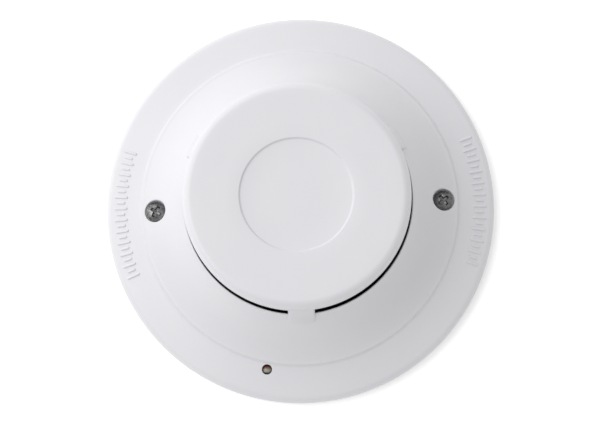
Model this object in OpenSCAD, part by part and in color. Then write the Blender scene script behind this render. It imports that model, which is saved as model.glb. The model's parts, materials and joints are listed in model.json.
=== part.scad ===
// Direct-wire smoke detector: a steel mounting plate, a detector head that lifts off
// it, and a one-piece moulded cover held by two captive screws.
//
// Frame: millimetres. The origin is the centre of the mounting face. Z = 0 is the wall
// or ceiling, +Z runs out of it towards the cap, and -Y passes through the single
// lowest leg of the cap. The two cover screws lie on the X axis.

/* [Cover] */
// Outside diameter of the flange
cover_d = 140; // [139:0.5:141]
// Height of the cap's top above the mounting face
total_h = 40; // [39.8:0.1:41]
// Moulded wall thickness
wall = 2; // [1.8:0.1:2.1]
// Rounding of the flange's outer edge
flange_round = 3; // [2.6:0.1:3.2]
// Slope of the flange's front face, in degrees
flange_slope = 12.4; // [12:0.1:13]
// Diameter of the small step at the foot of the cone
step_d = 113.6; // [113.2:0.2:114]
// Height of the flange face at the foot of the step
step_foot_z = 8.2; // [8.1:0.05:8.4]
// Height of the small step itself
step_h = 1; // [0.7:0.05:1.1]
// Slope of the cone at its foot, in degrees
cone_foot_slope = 28; // [26:1:30]
// Diameter of the cone's throat edge
throat_d = 80.6; // [80.2:0.1:80.8]
// Height of the throat edge
throat_z = 26.8; // [26.5:0.1:27.2]

/* [Cap] */
// Outside diameter of the cap
cap_d = 78.8; // [78.4:0.1:79]
// Height of the cap's lower rim, which is the top of the smoke slot
cap_rim_z = 33.4; // [33:0.1:33.6]
// Rounding of the cap's top edge
cap_round = 3.2; // [2.6:0.1:3.4]
// Diameter of the shallow round recess in the cap
recess_d = 39.6; // [36:0.2:44]
// Depth of the recess
recess_depth = 0.6; // [0.3:0.1:0.8]
// Width of each leg that carries the cap
leg_w = 9.2; // [8:0.2:11]

/* [Fasteners] */
// Distance of each cover screw from the centre
screw_r = 51.5; // [51.3:0.1:51.6]
// Diameter of the screw heads
screw_head_d = 7; // [6.6:0.1:7.1]
// Diameter of the wells that the heads sit in
well_d = 7.9; // [7.8:0.1:8]
// Nominal thread diameter
thread_d = 3.5; // [3.4:0.05:3.55]
// How far a captive screw backs out
screw_travel = 2.7; // [2.5:0.1:2.7]

/* [Mounting plate] */
// Diameter of the steel plate
plate_d = 114; // [112:0.5:115]
// Thickness of the steel plate
plate_t = 1.2; // [1:0.1:1.3]
// Diameter of the opening for the field wiring
wire_opening_d = 62; // [61:0.5:63]
// Distance between the two fixing slots
slot_spacing = 79.4; // [79:0.1:80]
// Length of each fixing slot, end to end
slot_length = 13.9; // [12:0.1:14]
// Width of each fixing slot
slot_w = 4.4; // [4.2:0.1:4.8]

/* [Indicator] */
// Distance of the status lamp from the centre
lamp_r = 59.3; // [59.1:0.1:59.5]
// Angle of the status lamp round the cover, in degrees
lamp_angle = -103.3; // [-106:0.1:-101]
// Diameter of the hole that the lamp shows through
lamp_hole_d = 3.6; // [3.6:0.05:3.7]

/* [Inside] */
// Diameter of the circuit board
board_d = 87; // [86:0.5:87]
// Number of vanes in the light trap
vane_count = 24; // [18:1:28]
// Number of upright bars in the insect screen
screen_bars = 48; // [36:2:60]

/* [Hidden] */
$fn = 96;

// A little extra that makes a cut pass clean through
cut = 1;

// --- Cover section ---
skirt_z = 0.3;
flange_r = cover_d / 2;
step_r = step_d / 2;
throat_r = throat_d / 2;
cap_r = cap_d / 2;
// The step's wall leans outwards by this much as it goes down, and carries on into the
// flange
step_lean = 1;
foot = [step_r - step_lean / 2, step_foot_z + step_h];
step_end = foot + 1.6 * [step_lean, -step_h];
throat = [throat_r, throat_z];
// The cone is one concave arc that leaves its foot at cone_foot_slope and ends on the
// throat edge
arc_span = throat - foot;
arc_normal = [sin(cone_foot_slope), cos(cone_foot_slope)];
arc_r = (arc_span * arc_span) / (2 * (arc_span * arc_normal));
arc_c = foot + arc_r * arc_normal;
function face_z(r) = step_foot_z - (r - step_r) * tan(flange_slope);
function cone_z(r) = arc_c[1] - sqrt(pow(arc_r, 2) - pow(arc_c[0] - r, 2));
edge_c = [
    flange_r - flange_round,
    face_z(flange_r - flange_round) - flange_round / cos(flange_slope)
];
// The throat's inner wall clears the black disc of the sensing chamber
lip_r = throat_r - 0.4;
cap_wall = 1.8;
cap_inner_r = cap_r - cap_wall;
cap_ceiling_z = total_h - cap_wall;
leg_foot_r = 43.2;
leg_inner_r = 38;
leg_angles = [-90, 30, 150];

// --- Height stack of the head ---
floor_z = 2.2;
floor_t = 1.8;
floor_top = floor_z + floor_t;
housing_r = 64.4;
board_z = 12;
board_t = 1.6;
board_top = board_z + board_t;
board_r = board_d / 2;
chamber_disc_z = 24;
chamber_floor = 25.8;
lid_z = 34.8;
optic_z = 30;

// --- Cover screws ---
seat_z = 8.6;
boss_r = 5.2;
boss_z = 5;
thread_r = thread_d / 2;
neck_r = 1.25;
neck_hole_r = 1.6;
relief_r = 2.3;
collar_r = 3.3;
collar_top = 4.8;
collar_neck_r = 2.6;
washer_z = seat_z;
washer_t = 0.35;
head_z = seat_z + 0.4;
// The thread leaves its collar just before it meets the roof of the relief bore,
// which keeps the screw captive
thread_low = collar_top + 0.1 - screw_travel;
thread_high = 4.6;
relief_top = thread_high + screw_travel + 0.1;

// --- Terminal block ---
terminal_count = 5;
terminal_pitch = 7.62;
terminal_x = [for (i = [0 : terminal_count - 1])
    (i - (terminal_count - 1) / 2) * terminal_pitch];
block_size = [40, 13, 9.4];
block_y = -16;
block_z = 2.4;
tag_z = 6.6;
pin_y = -20;

// --- Board furniture, all heights above the board's top face ---
post_angles = [90, 210, 330];
post_ring_r = 31;
peg_angles = [30, 150, 270];
peg_ring_r = 34;
emitter_angle = 205;
receiver_angle = 335;
optic_lead_r = 25.5;
lead_r = 0.3;
lamp_lead_gap = 2;
lamp_lead_end_r = 41.6;

// Places a child at a distance and an angle round the Z axis
module at_polar(r, a) {
    rotate([0, 0, a]) translate([r, 0, 0]) children();
}

// Points along an arc, for the rounded corners of an outline
function arc(centre, r, from, to, steps = 12) = [
    for (i = [0 : steps]) let (a = from + (to - from) * i / steps)
        centre + r * [cos(a), sin(a)]
];

module tube(outer_r, inner_r, h) {
    difference() {
        cylinder(r = outer_r, h = h);
        translate([0, 0, -cut]) cylinder(r = inner_r, h = h + 2 * cut);
    }
}

// A bar with round ends, centred, running along Y
module slot_shape(length, width, h) {
    run = length - width;
    translate([-width / 2, -run / 2, 0]) cube([width, run, h]);
    for (s = [-1, 1]) translate([0, s * run / 2, 0]) cylinder(r = width / 2, h = h);
}

// --------------------------------------------------------------------------
// Mounting plate
// --------------------------------------------------------------------------

module mounting_plate() {
    lip_h = 0.7;
    lip_w = 1.2;
    color("gainsboro") difference() {
        union() {
            cylinder(r = plate_d / 2, h = plate_t);
            tube(plate_d / 2, plate_d / 2 - lip_w, plate_t + lip_h);
        }
        translate([0, 0, -cut]) cylinder(r = wire_opening_d / 2, h = plate_t + 2 * cut);
        for (s = [-1, 1]) {
            translate([0, s * slot_spacing / 2, -cut])
                slot_shape(slot_length, slot_w, plate_t + 2 * cut);
            translate([s * screw_r, 0, -cut])
                cylinder(r = collar_neck_r, h = plate_t + 2 * cut);
        }
    }
}

module threaded_collars() {
    color("silver") for (s = [-1, 1]) translate([s * screw_r, 0, 0]) difference() {
        union() {
            cylinder(r = collar_neck_r, h = plate_t);
            translate([0, 0, plate_t]) cylinder(r = collar_r, h = collar_top - plate_t);
        }
        translate([0, 0, -cut]) cylinder(r = thread_r + 0.05, h = collar_top + 2 * cut);
    }
}

// --------------------------------------------------------------------------
// Back housing
// --------------------------------------------------------------------------

// A raised pocket over a fixing slot, which leaves room for the box screw's head
module screw_pocket(grow, h) {
    pocket_w = 9.2;
    pocket_l = 16;
    translate([-pocket_w / 2 - grow, slot_spacing / 2 - pocket_l / 2 - grow, floor_z])
        cube([pocket_w + 2 * grow, pocket_l + 2 * grow, h]);
}

module lamp_channel() {
    channel_w = 4.6;
    channel_z = 3;
    channel_h = 12;
    inner_end = 40;
    rotate([0, 0, lamp_angle]) {
        translate([inner_end, -channel_w / 2, channel_z])
            cube([lamp_r - inner_end, channel_w, channel_h]);
        translate([lamp_r, 0, channel_z]) cylinder(r = channel_w / 2, h = channel_h);
    }
}

module back_housing() {
    ring_outer_r = 45.5;
    ring_inner_r = 43.9;
    ring_top = 13;
    rib_inner_r = 45;
    rib_outer_r = 60;
    rib_h = 0.6;
    rib_w = 1.2;
    post_r = 3.2;
    pocket_depth = 3.4;
    pocket_wall = 1.2;
    collar_clear_r = 4;
    color("whitesmoke") difference() {
        union() {
            translate([0, 0, floor_z]) cylinder(r = housing_r, h = floor_t);
            translate([0, 0, floor_top - 0.2])
                tube(ring_outer_r, ring_inner_r, ring_top - floor_top + 0.2);
            for (a = [22.5 : 45 : 337.5]) rotate([0, 0, a])
                translate([rib_inner_r, -rib_w / 2, floor_top - 0.2])
                    cube([rib_outer_r - rib_inner_r, rib_w, rib_h + 0.2]);
            for (a = post_angles) at_polar(post_ring_r, a)
                translate([0, 0, floor_top - 0.2])
                    cylinder(r = post_r, h = board_z - floor_top + 0.2);
            for (t = [0, 180]) rotate([0, 0, t])
                screw_pocket(pocket_wall, pocket_depth + pocket_wall);
        }
        for (t = [0, 180]) rotate([0, 0, t]) translate([0, 0, -cut])
            screw_pocket(0, pocket_depth + cut);
        for (s = [-1, 1]) translate([s * screw_r, 0, 0])
            cylinder(r = collar_clear_r, h = floor_top + cut);
        for (a = post_angles) at_polar(post_ring_r, a)
            translate([0, 0, board_z - 6]) cylinder(r = 1.2, h = 6 + cut, $fn = 32);
        translate([-block_size[0] / 2 - 0.5, block_y - block_size[1] / 2 - 0.5, 0])
            cube([block_size[0] + 1, block_size[1] + 1, floor_top + cut]);
        lamp_channel();
    }
}

module foam_gasket() {
    gasket_outer_r = 63.6;
    gasket_inner_r = 58.4;
    gasket_z = 0.1;
    color("dimgray") translate([0, 0, gasket_z])
        tube(gasket_outer_r, gasket_inner_r, floor_z - gasket_z);
}

// --------------------------------------------------------------------------
// Field wiring terminals, which face the mounting side
// --------------------------------------------------------------------------

module terminal_block() {
    cell_w = 6.4;
    cell_front = 2;
    cell_top = tag_z + 0.8;
    screw_hole_r = 1.5;
    color("black") difference() {
        translate([-block_size[0] / 2, block_y - block_size[1] / 2, block_z]) cube(block_size);
        for (x = terminal_x) {
            translate([x - cell_w / 2, block_y - block_size[1] / 2 + cell_front, 0])
                cube([cell_w, block_size[1], cell_top]);
            translate([x, block_y, cell_top - cut])
                cylinder(r = screw_hole_r, h = 3 + cut, $fn = 32);
            translate([x - 0.5, pin_y - 0.5, cell_top - cut]) cube([1, 1, 6]);
        }
    }
}

module terminal_screws() {
    head_r = 2.8;
    head_h = 2;
    shank_r = 1.5;
    screw_low = 3.5;
    color("silver") for (x = terminal_x) translate([x, block_y, screw_low]) difference() {
        union() {
            cylinder(r = head_r, h = head_h);
            cylinder(r = shank_r, h = 10 - screw_low, $fn = 32);
        }
        translate([-head_r, -0.4, -cut]) cube([2 * head_r, 0.8, 0.8 + cut]);
    }
}

module wire_clamps() {
    clamp = [5.8, 7, 1];
    color("goldenrod") for (x = terminal_x) difference() {
        translate([x - clamp[0] / 2, block_y - clamp[1] / 2, tag_z - 0.1 - clamp[2]])
            cube(clamp);
        translate([x, block_y, 0]) cylinder(r = 1.5, h = 10, $fn = 32);
    }
}

module terminal_tags() {
    tag = [6, 10, 0.8];
    pin_w = 1;
    color("darkgoldenrod") for (x = terminal_x) difference() {
        union() {
            translate([x - tag[0] / 2, pin_y - pin_w / 2, tag_z]) cube(tag);
            translate([x - pin_w / 2, pin_y - pin_w / 2, tag_z])
                cube([pin_w, pin_w, board_top + 0.9 - tag_z]);
        }
        translate([x, block_y, 0]) cylinder(r = 1.5, h = 10, $fn = 32);
    }
}

// --------------------------------------------------------------------------
// Circuit board and what is soldered to it
// --------------------------------------------------------------------------

module circuit_board() {
    color("seagreen") difference() {
        translate([0, 0, board_z]) cylinder(r = board_r, h = board_t);
        translate([0, 0, board_z - cut]) {
            for (a = post_angles) at_polar(post_ring_r, a)
                cylinder(r = 1.3, h = board_t + 2 * cut, $fn = 32);
            for (a = peg_angles) at_polar(peg_ring_r, a)
                cylinder(r = 1.4, h = board_t + 2 * cut, $fn = 32);
            for (x = terminal_x) translate([x - 0.5, pin_y - 0.5, 0])
                cube([1, 1, board_t + 2 * cut]);
            for (s = [-1, 1]) rotate([0, 0, lamp_angle])
                translate([lamp_lead_end_r, s * lamp_lead_gap / 2, 0])
                    cylinder(r = lead_r, h = board_t + 2 * cut, $fn = 24);
        }
    }
}

module board_screws() {
    color("silver") for (a = post_angles) at_polar(post_ring_r, a) difference() {
        union() {
            translate([0, 0, board_top]) cylinder(r = 2.3, h = 1.5);
            translate([0, 0, board_z - 5]) cylinder(r = 1.2, h = 5 + board_t, $fn = 32);
        }
        for (t = [0, 90]) translate([0, 0, board_top + 1.5]) rotate([0, 0, t])
            cube([2.6, 0.6, 1.6], center = true);
    }
}

module alarm_relay() {
    relay = [19, 10.2, 9.2];
    color("lightsteelblue") translate([2, 12, board_top]) cube(relay);
}

module electrolytic_capacitors() {
    color("midnightblue") {
        translate([-21, 8, board_top]) cylinder(r = 4, h = 9);
        translate([-12, 17, board_top]) cylinder(r = 3.15, h = 7.5);
    }
}

module film_capacitors() {
    color("gold") {
        translate([-7, 8, board_top]) cube([7.2, 2.6, 6.5]);
        translate([24, 3, board_top]) cube([2.6, 7.2, 6.5]);
    }
}

module surge_varistor() {
    disc_r = 4.5;
    color("steelblue") {
        translate([-22, -2.5, board_top + disc_r + 1]) rotate([90, 0, 0])
            cylinder(r = disc_r, h = 3, center = true);
        for (s = [-1, 1]) translate([-22 + s * 2.5, -2.5, board_top])
            cylinder(r = 0.35, h = 3, $fn = 24);
    }
}

// One axial part lying on the board, with its two bent leads
module axial_part(body_r, body_l, pitch) {
    lift = body_r + 0.3;
    translate([0, -body_l / 2, lift]) rotate([-90, 0, 0])
        cylinder(r = body_r, h = body_l, $fn = 32);
    translate([0, -pitch / 2, lift]) rotate([-90, 0, 0])
        cylinder(r = lead_r, h = pitch, $fn = 24);
    for (s = [-1, 1]) translate([0, s * pitch / 2, 0]) {
        cylinder(r = lead_r, h = lift, $fn = 24);
        translate([0, 0, lift]) sphere(r = lead_r, $fn = 24);
    }
}

// Angles of the parts that stand on the open rim of the board, outside the chamber
resistor_angles = [8, 22, 96, 110, 124, 200, 214, 300, 314];
diode_angles = [140, 158, 232];
rim_part_r = 41.3;

module resistors() {
    color("burlywood") for (a = resistor_angles) at_polar(rim_part_r, a)
        translate([0, 0, board_top]) axial_part(1, 4.6, 7);
}

module diodes() {
    color("black") for (a = diode_angles) at_polar(rim_part_r, a)
        translate([0, 0, board_top]) axial_part(1.2, 4.4, 8);
}

module reed_switch() {
    color("lightcyan") at_polar(rim_part_r, 60)
        translate([0, 0, board_top]) axial_part(1.25, 10, 16);
}

module transistors() {
    body_r = 2.3;
    body_h = 4.6;
    leg_h = 1.6;
    color("dimgray") for (p = [[10, -3, 0], [17, -3, 40]])
        translate([p[0], p[1], board_top]) rotate([0, 0, p[2]]) {
            difference() {
                translate([0, 0, leg_h]) cylinder(r = body_r, h = body_h);
                translate([-body_r, body_r * 0.5, leg_h - cut])
                    cube([2 * body_r, body_r, body_h + 2 * cut]);
            }
            for (x = [-1.27, 0, 1.27]) translate([x, 0, 0])
                cylinder(r = 0.28, h = leg_h + 0.2, $fn = 24);
        }
}

module control_chip() {
    body = [19.4, 6.4, 3.4];
    leg_pitch = 2.54;
    legs_per_side = 7;
    color("black") translate([-3, -6, board_top]) {
        difference() {
            translate([-body[0] / 2, -body[1] / 2, 0.7]) cube(body);
            translate([-body[0] / 2, 0, body[2]]) cylinder(r = 1, h = 2, $fn = 32);
        }
        for (i = [0 : legs_per_side - 1], s = [-1, 1])
            translate([(i - (legs_per_side - 1) / 2) * leg_pitch, s * 3.55, 0]) {
                translate([-0.35, -0.4, 0]) cube([0.7, 0.8, 2.6]);
            }
    }
}

// --------------------------------------------------------------------------
// Status lamp
// --------------------------------------------------------------------------

lamp_body_r = 1.5;
lamp_base_z = 3.9;
lamp_lead_z = 3.4;

module status_lamp() {
    rim_r = 1.9;
    rim_h = 0.6;
    dome_z = 6.2;
    color("darkred") at_polar(lamp_r, lamp_angle) {
        translate([0, 0, lamp_base_z]) cylinder(r = rim_r, h = rim_h);
        translate([0, 0, lamp_base_z]) cylinder(r = lamp_body_r, h = dome_z - lamp_base_z);
        translate([0, 0, dome_z]) sphere(r = lamp_body_r);
    }
}

module lamp_leads() {
    run = lamp_r - lamp_lead_end_r;
    color("silver") rotate([0, 0, lamp_angle])
        for (s = [-1, 1]) translate([0, s * lamp_lead_gap / 2, 0]) {
            translate([lamp_r, 0, lamp_lead_z])
                cylinder(r = lead_r, h = lamp_base_z - lamp_lead_z, $fn = 24);
            translate([lamp_r, 0, lamp_lead_z]) sphere(r = lead_r, $fn = 24);
            translate([lamp_lead_end_r, 0, lamp_lead_z]) rotate([0, 90, 0])
                cylinder(r = lead_r, h = run, $fn = 24);
            translate([lamp_lead_end_r, 0, lamp_lead_z]) sphere(r = lead_r, $fn = 24);
            translate([lamp_lead_end_r, 0, lamp_lead_z])
                cylinder(r = lead_r, h = board_top + 0.8 - lamp_lead_z, $fn = 24);
        }
}

// --------------------------------------------------------------------------
// Sensing chamber
// --------------------------------------------------------------------------

holder_front = 10;
holder_back = 22.8;
holder_w = 9.6;
holder_top = 33.4;
aperture_r = 1.7;
emitter_r = 2.5;
emitter_tip = 14.6;
emitter_back = 22.6;
lens_r = 3.1;

// A block that holds one optical part and points it at the centre
module optic_holder(bore_r, bore_front) {
    difference() {
        translate([holder_front, -holder_w / 2, chamber_floor - 0.2])
            cube([holder_back - holder_front, holder_w, holder_top - chamber_floor + 0.2]);
        translate([bore_front, 0, optic_z]) rotate([0, 90, 0])
            cylinder(r = bore_r, h = holder_back);
        translate([holder_front - cut, 0, optic_z]) rotate([0, 90, 0])
            cylinder(r = aperture_r, h = holder_back);
    }
}

module chamber_base() {
    disc_r = 39;
    skirt_wall = 1.8;
    baffle = [1.4, 12, 7];
    color("#1b1b1d") difference() {
        union() {
            translate([0, 0, chamber_disc_z])
                cylinder(r = disc_r, h = chamber_floor - chamber_disc_z);
            translate([0, 0, board_top])
                tube(disc_r, disc_r - skirt_wall, chamber_disc_z - board_top + 0.2);
            for (a = peg_angles) at_polar(peg_ring_r, a) {
                translate([0, 0, board_z - 0.8])
                    cylinder(r = 1.4, h = board_t + 1.6, $fn = 32);
                translate([0, 0, board_top])
                    cylinder(r = 2.6, h = chamber_disc_z - board_top + 0.2);
            }
            rotate([0, 0, emitter_angle]) optic_holder(emitter_r + 0.05, emitter_tip - 0.3);
            rotate([0, 0, receiver_angle]) optic_holder(lens_r + 0.05, 13.4);
            rotate([0, 0, 270]) translate([8, -baffle[1] / 2, chamber_floor - 0.2])
                cube([baffle[0], baffle[1], baffle[2] + 0.2]);
        }
        for (a = [emitter_angle, receiver_angle], s = [-1, 1])
            rotate([0, 0, a]) translate([optic_lead_r, s * 1.27, chamber_disc_z - cut])
                cylinder(r = 0.5, h = 4, $fn = 24);
    }
}

module infrared_emitter() {
    rim_r = 2.9;
    color("#3a2440") rotate([0, 0, emitter_angle]) {
        translate([emitter_tip + emitter_r, 0, optic_z]) rotate([0, 90, 0])
            cylinder(r = emitter_r, h = emitter_back - emitter_tip - emitter_r + 1.2);
        translate([emitter_tip + emitter_r, 0, optic_z]) sphere(r = emitter_r);
        translate([holder_back, 0, optic_z]) rotate([0, 90, 0]) cylinder(r = rim_r, h = 1);
    }
}

// Two leads that leave the back of an optical part and drop to the board
module optic_leads(back_r) {
    for (s = [-1, 1]) translate([0, s * 1.27, 0]) {
        translate([back_r, 0, optic_z]) rotate([0, 90, 0])
            cylinder(r = lead_r, h = optic_lead_r - back_r, $fn = 24);
        translate([optic_lead_r, 0, optic_z]) sphere(r = lead_r, $fn = 24);
        translate([optic_lead_r, 0, board_top])
            cylinder(r = lead_r, h = optic_z - board_top, $fn = 24);
    }
}

module emitter_leads() {
    color("silver") rotate([0, 0, emitter_angle]) optic_leads(holder_back + 1);
}

diode_front = 17.4;
diode_size = [2.2, 4.2, 4.4];

module photodiode() {
    color("#26262b") rotate([0, 0, receiver_angle])
        translate([diode_front, -diode_size[1] / 2, optic_z - diode_size[2] / 2])
            cube(diode_size);
}

module photodiode_leads() {
    color("silver") rotate([0, 0, receiver_angle])
        optic_leads(diode_front + diode_size[0]);
}

module receiver_lens() {
    lens_front = 14.2;
    ball_r = 5;
    color("lightcyan") rotate([0, 0, receiver_angle]) intersection() {
        translate([lens_front + ball_r, 0, optic_z]) sphere(r = ball_r);
        translate([lens_front - cut, 0, optic_z]) rotate([0, 90, 0])
            cylinder(r = lens_r, h = 2.6 + cut);
    }
}

// Tinned can that closes the back of the receiver's holder
module shield_can() {
    can_t = 0.4;
    can_w = holder_w;
    can_l = 1.6;
    color("silver") rotate([0, 0, receiver_angle]) difference() {
        translate([holder_back, -can_w / 2, chamber_floor])
            cube([can_l, can_w, holder_top - chamber_floor]);
        translate([holder_back - cut, -can_w / 2 + can_t, chamber_floor - cut])
            cube([can_l - can_t + cut, can_w - 2 * can_t, holder_top - chamber_floor + cut - can_t]);
        for (s = [-1, 1]) translate([holder_back, s * 1.27, optic_z]) rotate([0, 90, 0])
            cylinder(r = 0.5, h = 2 * can_l, $fn = 24);
    }
}

module optics_cover() {
    plate_h = 0.8;
    color("#222225") difference() {
        union() {
            for (a = [emitter_angle, receiver_angle]) rotate([0, 0, a])
                translate([holder_front, -holder_w / 2, holder_top])
                    cube([holder_back - holder_front, holder_w, plate_h]);
            translate([0, 0, holder_top]) intersection() {
                tube(14.5, 11.5, plate_h);
                rotate([0, 0, emitter_angle]) translate([0, 0, -cut]) cube([20, 20, 3]);
            }
            translate([0, 0, holder_top]) intersection() {
                tube(14.5, 11.5, plate_h);
                rotate([0, 0, receiver_angle - 90]) translate([0, 0, -cut])
                    cube([20, 20, 3]);
            }
        }
        translate([0, 0, holder_top - cut]) cylinder(r = 10.2, h = 3 * cut);
    }
}

module labyrinth() {
    ring_outer_r = 36;
    ring_inner_r = 27.6;
    ring_h = 0.8;
    vane = [
        [28, -1.4], [32, 1.5], [35.6, -0.7],
        [35.6, -2], [32.1, 0.1], [28.7, -2.4]
    ];
    color("#1e1e20") union() {
        translate([0, 0, chamber_floor]) tube(ring_outer_r, ring_inner_r, ring_h);
        for (i = [0 : vane_count - 1]) rotate([0, 0, (i + 0.5) * 360 / vane_count])
            translate([0, 0, chamber_floor + ring_h / 2])
                linear_extrude(height = lid_z - chamber_floor - ring_h / 2)
                    polygon(vane);
    }
}

module insect_screen() {
    screen_outer_r = 36.7;
    screen_inner_r = 36.2;
    hoop_h = 1;
    wire_h = 0.35;
    bar_w = 0.4;
    rows = 3;
    clear_h = lid_z - chamber_floor - 2 * hoop_h;
    color("#2a2a2c") union() {
        for (z = [chamber_floor, lid_z - hoop_h]) translate([0, 0, z])
            tube(screen_outer_r, screen_inner_r, hoop_h);
        for (k = [1 : rows])
            translate([0, 0, chamber_floor + hoop_h + clear_h * k / (rows + 1) - wire_h / 2])
                tube(screen_outer_r, screen_inner_r, wire_h);
        for (i = [0 : screen_bars - 1]) rotate([0, 0, i * 360 / screen_bars])
            translate([screen_inner_r + 0.08, -bar_w / 2, chamber_floor + hoop_h / 2])
                cube([screen_outer_r - screen_inner_r - 0.16, bar_w, clear_h + hoop_h]);
    }
}

module chamber_lid() {
    lid_r = 36.8;
    lid_h = 1.6;
    trap_h = 0.9;
    color("#1b1b1d") union() {
        rotate_extrude() polygon([
            [0, lid_z], [lid_r, lid_z], [lid_r, lid_z + lid_h - 0.6],
            [lid_r - 0.6, lid_z + lid_h], [0, lid_z + lid_h]
        ]);
        for (r = [3, 6, 9]) translate([0, 0, lid_z - trap_h])
            tube(r, r - 1, trap_h + 0.2);
    }
}

// --------------------------------------------------------------------------
// Cover: flange, cone, three legs and cap in one moulding
// --------------------------------------------------------------------------

module cone_profile() {
    intersection() {
        translate(arc_c) difference() {
            circle(r = arc_r + wall);
            circle(r = arc_r);
        }
        polygon([
            [lip_r, boss_z], [step_end[0], boss_z], step_end,
            foot, [foot[0], throat_z], [lip_r, throat_z]
        ]);
    }
}

// The flange's face, rounded edge and side wall, with a spigot ring inside it that
// centres the cover on the back housing
module flange_profile() {
    inner = step_r - 1;
    face_angle = 90 - flange_slope;
    spigot_outer_r = 66.2;
    spigot_inner_r = 65;
    spigot_z = 2.5;
    polygon(concat(
        [[inner, face_z(inner)]],
        arc(edge_c, flange_round, face_angle, 0),
        [[flange_r, skirt_z], [flange_r - wall, skirt_z]],
        arc(edge_c, flange_round - wall, 0, face_angle),
        [[inner, face_z(inner) - wall / cos(flange_slope)]]
    ));
    polygon([
        [spigot_inner_r, spigot_z], [spigot_outer_r, spigot_z],
        [spigot_outer_r, face_z(spigot_outer_r) - wall / 2],
        [spigot_inner_r, face_z(spigot_inner_r) - wall / 2]
    ]);
}

module cap_profile() {
    corner = [cap_r - cap_round, total_h - cap_round];
    inner_round = 1.6;
    recess_slope = 0.5;
    recess_z = total_h - recess_depth;
    polygon(concat(
        [[0, recess_z], [recess_d / 2 - recess_slope, recess_z], [recess_d / 2, total_h]],
        arc(corner, cap_round, 90, 0),
        [
            [cap_r, cap_rim_z], [cap_inner_r, cap_rim_z],
            [cap_inner_r, cap_ceiling_z - inner_round],
            [cap_inner_r - inner_round, cap_ceiling_z], [0, cap_ceiling_z]
        ]
    ));
}

// A leg's outer face runs straight from inside the cone's wall to just inside the
// cap's rim
module cap_leg() {
    leg_foot_z = cone_z(leg_foot_r);
    lean = (leg_foot_r - cap_r) / (cap_rim_z - leg_foot_z);
    leg_low = leg_foot_z - 1.5;
    leg_top = cap_rim_z + 1.3;
    set_in = 0.1;
    function outer_r(z) = cap_r - set_in + lean * (cap_rim_z - z);
    intersection() {
        rotate_extrude() polygon([
            [outer_r(leg_low), leg_low], [outer_r(leg_top), leg_top],
            [leg_inner_r, leg_top], [leg_inner_r, throat_z + 1.2],
            [throat_r, throat_z - 0.6], [throat_r, throat_z - 2.1]
        ]);
        translate([0, -leg_w / 2, 0]) cube([leg_foot_r + 2, leg_w, total_h]);
    }
}

// Solid under the middle of the cone's wall, from which the screw bosses are cut
module under_cone() {
    rotate_extrude() difference() {
        polygon([[lip_r, boss_z], [step_r, boss_z], [step_r, throat_z], [lip_r, throat_z]]);
        translate(arc_c) circle(r = arc_r + wall / 2);
    }
}

// Row of plain raised bars on the flange, long and short in turn
module raised_bars() {
    bar_count = 23;
    bar_pitch = 1.85;
    bar_w = 0.9;
    bar_h = 0.4;
    bar_mid_r = 64.6;
    long_bar = 5;
    short_bar = 3.2;
    for (i = [0 : bar_count - 1])
        rotate([0, 0, (i - (bar_count - 1) / 2) * bar_pitch])
            translate([bar_mid_r, 0, face_z(bar_mid_r)]) rotate([0, flange_slope, 0])
                cube([i % 2 == 0 ? long_bar : short_bar, bar_w, 2 * bar_h], center = true);
}

module cover() {
    shroud_r = 3;
    color("white") difference() {
        union() {
            rotate_extrude() cone_profile();
            rotate_extrude() flange_profile();
            for (t = [0, 180]) rotate([0, 0, t]) raised_bars();
            rotate_extrude() cap_profile();
            for (a = leg_angles) rotate([0, 0, a]) cap_leg();
            intersection() {
                under_cone();
                for (s = [-1, 1]) translate([s * screw_r, 0, 0])
                    cylinder(r = boss_r, h = total_h);
            }
            at_polar(lamp_r, lamp_angle) translate([0, 0, 5.2])
                cylinder(r = shroud_r, h = 1.6);
        }
        for (s = [-1, 1]) translate([s * screw_r, 0, 0]) {
            translate([0, 0, seat_z]) cylinder(r = well_d / 2, h = total_h);
            cylinder(r = neck_hole_r, h = total_h, $fn = 48);
            cylinder(r = relief_r, h = relief_top, $fn = 48);
        }
        at_polar(lamp_r, lamp_angle) cylinder(r = lamp_hole_d / 2, h = total_h, $fn = 48);
    }
}

// --------------------------------------------------------------------------
// Captive cover screws
// --------------------------------------------------------------------------

module cover_screw(side, turn) {
    head_r = screw_head_d / 2;
    head_h = 2.1;
    edge_h = 0.9;
    dome_r = (pow(head_r, 2) + pow(head_h - edge_h, 2)) / (2 * (head_h - edge_h));
    cross_l = 4.2;
    cross_w = 1;
    cross_depth = 1.3;
    point_low = 0.6;
    color("darkgray") translate([side * screw_r, 0, 0]) difference() {
        union() {
            intersection() {
                translate([0, 0, head_z]) cylinder(r = head_r, h = head_h);
                translate([0, 0, head_z + head_h - dome_r]) sphere(r = dome_r);
            }
            translate([0, 0, thread_high - 0.2])
                cylinder(r = neck_r, h = head_z + 0.4 - thread_high, $fn = 48);
            translate([0, 0, thread_low])
                cylinder(r = thread_r, h = thread_high - thread_low, $fn = 48);
            translate([0, 0, point_low])
                cylinder(r = neck_r, h = thread_low + 0.2 - point_low, $fn = 48);
        }
        for (t = [0, 90]) rotate([0, 0, turn + t])
            translate([-cross_l / 2, -cross_w / 2, head_z + head_h - cross_depth])
                cube([cross_l, cross_w, cross_depth + cut]);
    }
}

module screw_washer(side) {
    washer_r = 3.4;
    color("ivory") translate([side * screw_r, 0, washer_z])
        tube(washer_r, neck_r + 0.05, washer_t);
}

module left_washer() { screw_washer(-1); }
module right_washer() { screw_washer(1); }
module left_screw() { cover_screw(-1, 56); }
module right_screw() { cover_screw(1, 38); }

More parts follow.
